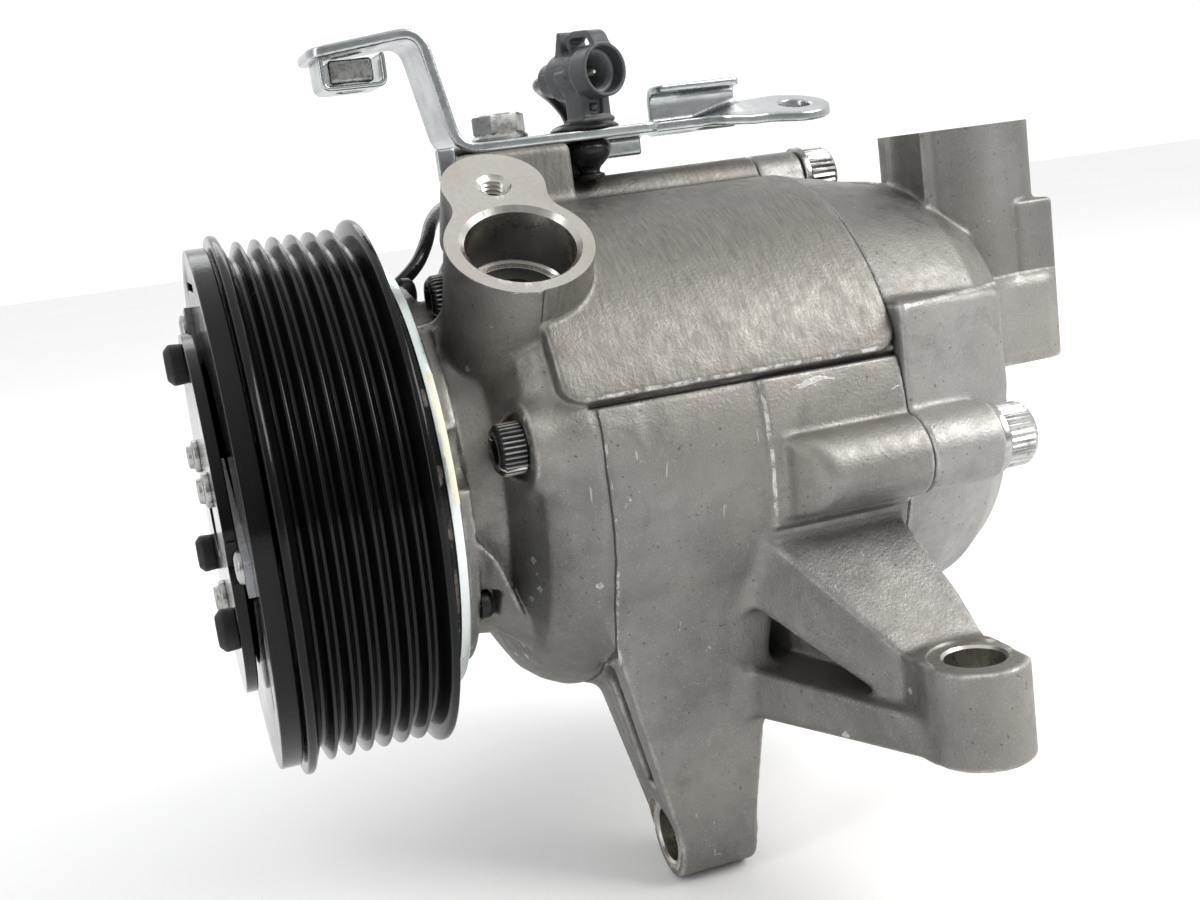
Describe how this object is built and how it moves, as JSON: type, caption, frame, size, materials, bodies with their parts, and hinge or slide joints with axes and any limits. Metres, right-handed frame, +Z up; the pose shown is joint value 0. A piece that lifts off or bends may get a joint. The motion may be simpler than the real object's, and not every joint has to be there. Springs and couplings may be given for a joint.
{
  "type": "automotive ac compressor",
  "caption": "Rotary vane air-conditioning compressor with a seven-rib belt pulley, electromagnetic clutch, two line ports, two mounting lugs and a wiring bracket.",
  "frame": {"origin": "on the shaft axis, at the middle plane of the seven belt grooves", "axes": "+X along the shaft towards the rear head, +Z up along the discharge port"},
  "size_m": [0.1882, 0.1482, 0.1782],
  "materials": {
    "black_lead": "extruded sleeve",
    "black_plastic": "moulded",
    "black_rubber": "moulded",
    "black_steel": "black oxide, worn at the edges",
    "brass_pin": "tin plated",
    "bright_steel": "bright plated",
    "cast_aluminium": "die cast, lightly blasted",
    "copper_winding": "enamelled wire, potted",
    "grey_plastic": "moulded",
    "ground_steel": "ground",
    "machined_aluminium": "machined",
    "pulley_black": "gloss black electrocoat",
    "spring_steel": "blued spring steel",
    "vane_composite": "moulded and ground",
    "zinc_plate": "bright zinc plated"
  },
  "bodies": {
    "body": {"bearing_inner_race": "ground_steel", "bearing_snap_ring": "bright_steel", "block_screws": "bright_steel", "bracket": "zinc_plate", "bracket_bolt": "bright_steel", "bracket_nut": "bright_steel", "bracket_nut_cage": "zinc_plate", "clutch_lead": "black_lead", "coil_core": "pulley_black", "coil_plate": "zinc_plate", "coil_screws": "black_steel", "coil_winding": "copper_winding", "connector_body": "grey_plastic", "connector_clip": "black_plastic", "connector_pin": "brass_pin", "cylinder_block": "machined_aluminium", "front_needle_shell": "ground_steel", "front_screws": "black_steel", "front_side_block": "machined_aluminium", "housing_seal_ring": "black_rubber", "lead_grommet": "black_rubber", "main_housing": "cast_aluminium", "oil_separator_tube": "machined_aluminium", "rear_bolts": "bright_steel", "rear_head": "cast_aluminium", "rear_needle_shell": "ground_steel", "rear_side_block": "machined_aluminium", "rear_washers": "bright_steel", "reed_valves": "spring_steel", "seal_snap_ring": "bright_steel", "shaft_seal": "black_rubber", "suction_valve_seat": "grey_plastic", "suction_valve_spring": "spring_steel", "valve_screws": "bright_steel", "valve_stops": "spring_steel"},
    "pulley": {"pulley": "pulley_black", "bearing_outer_race": "ground_steel"},
    "bearing_cage": {"bearing_cage": "vane_composite", "bearing_balls": "ground_steel"},
    "shaft": {"rotor_shaft": "ground_steel", "hub": "pulley_black", "hub_bolt": "bright_steel", "hub_shim": "bright_steel", "hub_rivets": "bright_steel", "hub_stoppers": "black_rubber", "leaf_springs": "spring_steel"},
    "armature": {"armature": "pulley_black", "armature_rivets": "bright_steel"},
    "front_needles": {"front_needle_cage": "ground_steel", "front_needle_rollers": "ground_steel"},
    "rear_needles": {"rear_needle_cage": "ground_steel", "rear_needle_rollers": "ground_steel"},
    "suction_plunger": {"suction_valve": "grey_plastic"},
    "vane_1": {"vane_1": "vane_composite"},
    "vane_2": {"vane_2": "vane_composite"},
    "vane_3": {"vane_3": "vane_composite"},
    "vane_4": {"vane_4": "vane_composite"},
    "vane_5": {"vane_5": "vane_composite"}
  },
  "joints": [
    {"name": "pulley_spin", "type": "hinge", "parent": "body", "child": "pulley", "pos_m": [0, 0, 0], "axis": [1, 0, 0], "continuous": true},
    {"name": "bearing_cage_spin", "type": "hinge", "parent": "body", "child": "bearing_cage", "pos_m": [0.002, 0, 0], "axis": [1, 0, 0], "continuous": true},
    {"name": "shaft_spin", "type": "hinge", "parent": "body", "child": "shaft", "pos_m": [0.05, 0, 0], "axis": [1, 0, 0], "continuous": true},
    {"name": "front_needle_spin", "type": "hinge", "parent": "body", "child": "front_needles", "pos_m": [0.0555, 0, 0], "axis": [1, 0, 0], "continuous": true},
    {"name": "rear_needle_spin", "type": "hinge", "parent": "body", "child": "rear_needles", "pos_m": [0.0985, 0, 0], "axis": [1, 0, 0], "continuous": true},
    {"name": "armature_slide", "type": "slide", "parent": "shaft", "child": "armature", "axis": [1, 0, 0], "range_m": [0, 0.00045], "stiffness_N_per_m": 20000, "deforming": ["leaf_springs"]},
    {"name": "suction_valve_slide", "type": "slide", "parent": "body", "child": "suction_plunger", "axis": [0, 0.6074, -0.7944], "range_m": [0, 0.0035], "stiffness_N_per_m": 150, "springref_m": -0.001, "deforming": ["suction_valve_spring"]},
    {"name": "vane_1_slide", "type": "slide", "parent": "shaft", "child": "vane_1", "axis": [0, 0, 1], "range_m": [0, 0.00593]},
    {"name": "vane_2_slide", "type": "slide", "parent": "shaft", "child": "vane_2", "axis": [0, -0.9511, 0.309], "range_m": [0, 0.00032]},
    {"name": "vane_3_slide", "type": "slide", "parent": "shaft", "child": "vane_3", "axis": [0, -0.5878, -0.809], "range_m": [0, 0.00321]},
    {"name": "vane_4_slide", "type": "slide", "parent": "shaft", "child": "vane_4", "axis": [0, 0.5878, -0.809], "range_m": [0, 0.00321]},
    {"name": "vane_5_slide", "type": "slide", "parent": "shaft", "child": "vane_5", "axis": [0, 0.9511, 0.309], "range_m": [0, 0.00032]}
  ],
  "couplings": [
    {"joint": "bearing_cage_spin", "follows": "pulley_spin", "ratio": 0.5598},
    {"joint": "front_needle_spin", "follows": "shaft_spin", "ratio": 0.4505},
    {"joint": "rear_needle_spin", "follows": "shaft_spin", "ratio": 0.4505}
  ]
}
